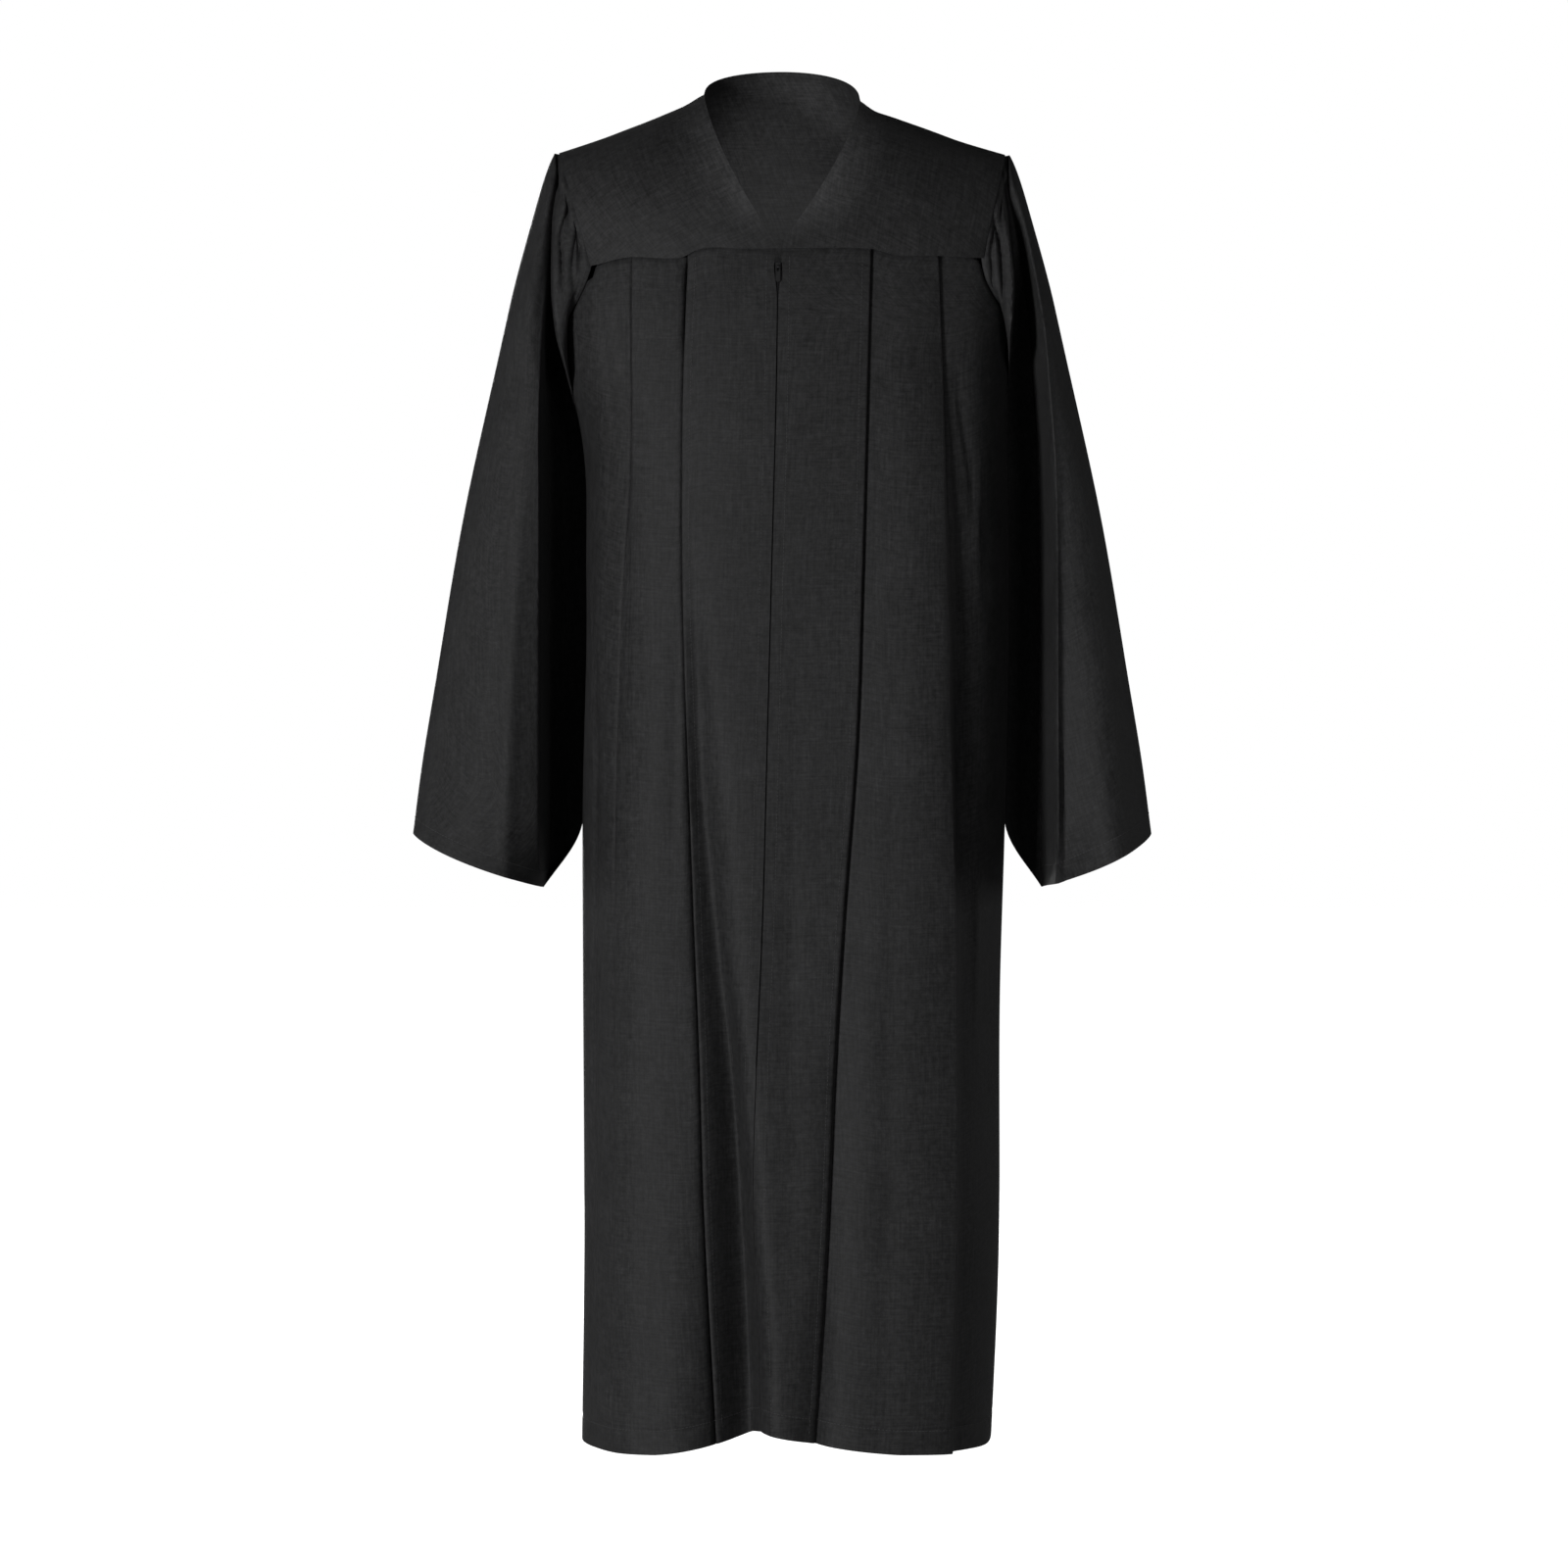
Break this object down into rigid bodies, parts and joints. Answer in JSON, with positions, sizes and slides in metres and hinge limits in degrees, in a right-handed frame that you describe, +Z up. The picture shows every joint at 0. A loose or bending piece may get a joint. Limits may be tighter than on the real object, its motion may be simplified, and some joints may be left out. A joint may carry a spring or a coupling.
{
  "type": "graduation gown, hollow in its worn shape",
  "caption": "Matte black graduation gown in its worn shape, with yokes, pleated fronts, open bell sleeves and a concealed front zip.",
  "frame": {"origin": "between the shoulders, at the height of the points where the shoulder line meets the neck", "axes": "+Z up, -Y out of the front, -X to the left as seen from the front"},
  "size_m": [0.6952, 0.2954, 1.2873],
  "materials": {
    "gown_cloth": "matte black plain-woven polyester",
    "zip_tape": "black woven tape",
    "zip_metal": "plated, satin"
  },
  "bodies": {
    "gown": {"front_yoke_left": "gown_cloth", "front_yoke_right": "gown_cloth", "back_yoke": "gown_cloth", "front_panel_left": "gown_cloth", "front_panel_right": "gown_cloth", "back_panel": "gown_cloth", "sleeve_left": "gown_cloth", "sleeve_right": "gown_cloth", "zip_tape_left": "zip_tape", "zip_tape_right": "zip_tape", "zip_slider": "zip_metal"},
    "pull_tab": {"zip_pull_tab": "zip_metal"}
  },
  "joints": [
    {"name": "zip_pull_tab_hinge", "type": "hinge", "parent": "gown", "child": "pull_tab", "pos_m": [-0.00372, -0.12251, -0.16241], "axis": [-1, 0, 0], "range_deg": [0, 150]}
  ]
}
